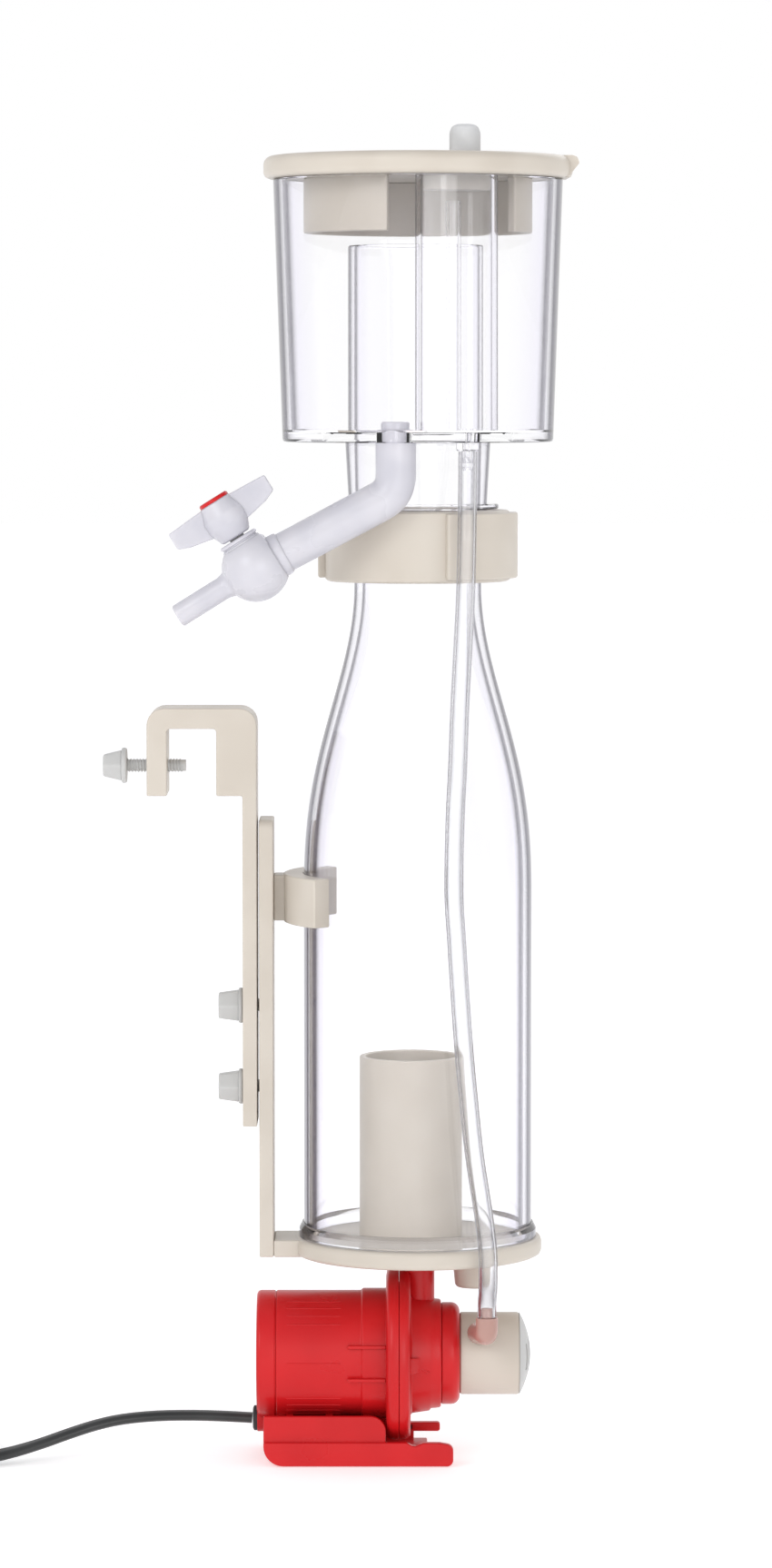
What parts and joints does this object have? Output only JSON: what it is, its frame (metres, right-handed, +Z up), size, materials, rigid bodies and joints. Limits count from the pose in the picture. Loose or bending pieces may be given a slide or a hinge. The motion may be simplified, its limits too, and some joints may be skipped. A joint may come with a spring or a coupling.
{
  "type": "protein skimmer",
  "caption": "Slim in-tank protein skimmer: clear bottle-shaped body, lidded collection cup with drain cock, sliding rim hook, red needle-wheel pump and airline.",
  "frame": {"origin": "underside of the pump's foot plate, directly under the axis of the clear body, so the floor is z = 0", "axes": "+Z up along the body's axis, +X towards the pump's intake, with the rim hook and the drain cock on the -X side and the airline on the -Y side"},
  "size_m": [0.2602, 0.1245, 0.39],
  "materials": {
    "clear_acrylic": "gloss",
    "cream_plastic": "satin",
    "white_nylon": "satin",
    "milky_plastic": "satin",
    "grey_foam": "matt",
    "red_plastic": "gloss",
    "pink_plastic": "gloss",
    "clear_hose": "gloss",
    "black_rubber": "matt",
    "black_pvc": "satin",
    "magnet_plastic": "matt",
    "steel_stack": "brushed",
    "copper_coil": "varnished wire",
    "resin": "matt",
    "ceramic": "gloss",
    "plated_pin": "polished"
  },
  "bodies": {
    "skimmer": {"body_tube": "clear_acrylic", "tube_foot_ring": "clear_acrylic", "bubble_riser": "cream_plastic", "base_plate": "cream_plastic", "outlet_stub": "cream_plastic", "bracket_plate": "cream_plastic", "body_clip": "cream_plastic", "slot_studs": "white_nylon", "neck_socket": "cream_plastic", "neck_seal": "black_rubber", "airline_hose": "clear_hose", "air_elbow": "pink_plastic", "motor_housing": "red_plastic", "motor_end_cap": "red_plastic", "potting_resin": "resin", "stator_core": "steel_stack", "stator_coil": "copper_coil", "ceramic_shaft": "ceramic", "shaft_bushes": "black_rubber", "volute": "red_plastic", "volute_seal": "black_rubber", "outlet_seal": "black_rubber", "front_cover": "red_plastic", "intake_nozzle": "cream_plastic", "intake_strainer": "white_nylon", "pump_foot": "red_plastic", "cord_grommet": "black_rubber", "cord_lead": "black_pvc", "cord_coil": "black_pvc", "cord_tail": "black_pvc", "cord_tie": "black_pvc", "plug_body": "black_pvc", "plug_pins": "plated_pin"},
    "collar": {"collar_ring": "cream_plastic"},
    "cup": {"collection_cup": "clear_acrylic", "cup_riser": "clear_acrylic", "cup_neck": "clear_acrylic", "silencer_chamber": "clear_acrylic", "silencer_tube": "clear_acrylic", "air_barb": "clear_acrylic", "drain_grommet": "black_rubber", "drain_elbow": "milky_plastic", "tap_body": "milky_plastic"},
    "tap": {"tap_plug": "white_nylon", "tap_handle": "milky_plastic", "tap_disc": "red_plastic"},
    "lid": {"lid": "cream_plastic", "lid_skirt": "cream_plastic", "silencer_stopper": "cream_plastic"},
    "filter": {"filter_plug": "grey_foam"},
    "hook": {"hook_plate": "cream_plastic"},
    "rim_screw": {"rim_screw": "white_nylon"},
    "upper_nut": {"upper_nut": "white_nylon"},
    "lower_nut": {"lower_nut": "white_nylon"},
    "rotor": {"rotor_magnet": "magnet_plastic", "impeller": "cream_plastic"}
  },
  "joints": [
    {"name": "collar_turn", "type": "hinge", "parent": "skimmer", "child": "collar", "pos_m": [0, 0, 0.2684], "axis": [0, 0, 1], "range_deg": [0, 45]},
    {"name": "cup_lift", "type": "slide", "parent": "skimmer", "child": "cup", "axis": [0, 0, 1], "range_m": [0, 0.04]},
    {"name": "lid_lift", "type": "slide", "parent": "cup", "child": "lid", "axis": [0, 0, 1], "range_m": [0, 0.04]},
    {"name": "filter_pull", "type": "slide", "parent": "lid", "child": "filter", "axis": [0, 0, 1], "range_m": [0, 0.012]},
    {"name": "drain_tap", "type": "hinge", "parent": "cup", "child": "tap", "pos_m": [-0.04667, -0.0313, 0.26324], "axis": [-0.5299, 0, 0.848], "range_deg": [0, 90]},
    {"name": "hook_height", "type": "slide", "parent": "skimmer", "child": "hook", "axis": [0, 0, 1], "range_m": [-0.045, 0.003]},
    {"name": "rim_screw_travel", "type": "slide", "parent": "hook", "child": "rim_screw", "axis": [1, 0, 0], "range_m": [-0.005, 0.006]},
    {"name": "upper_nut_turn", "type": "hinge", "parent": "skimmer", "child": "upper_nut", "pos_m": [-0.055, 0, 0.1337], "axis": [1, 0, 0], "range_deg": [0, 360]},
    {"name": "lower_nut_turn", "type": "hinge", "parent": "skimmer", "child": "lower_nut", "pos_m": [-0.055, 0, 0.1098], "axis": [1, 0, 0], "range_deg": [0, 360]},
    {"name": "rotor_spin", "type": "hinge", "parent": "skimmer", "child": "rotor", "pos_m": [-0.01, 0, 0.0305], "axis": [1, 0, 0], "continuous": true}
  ]
}
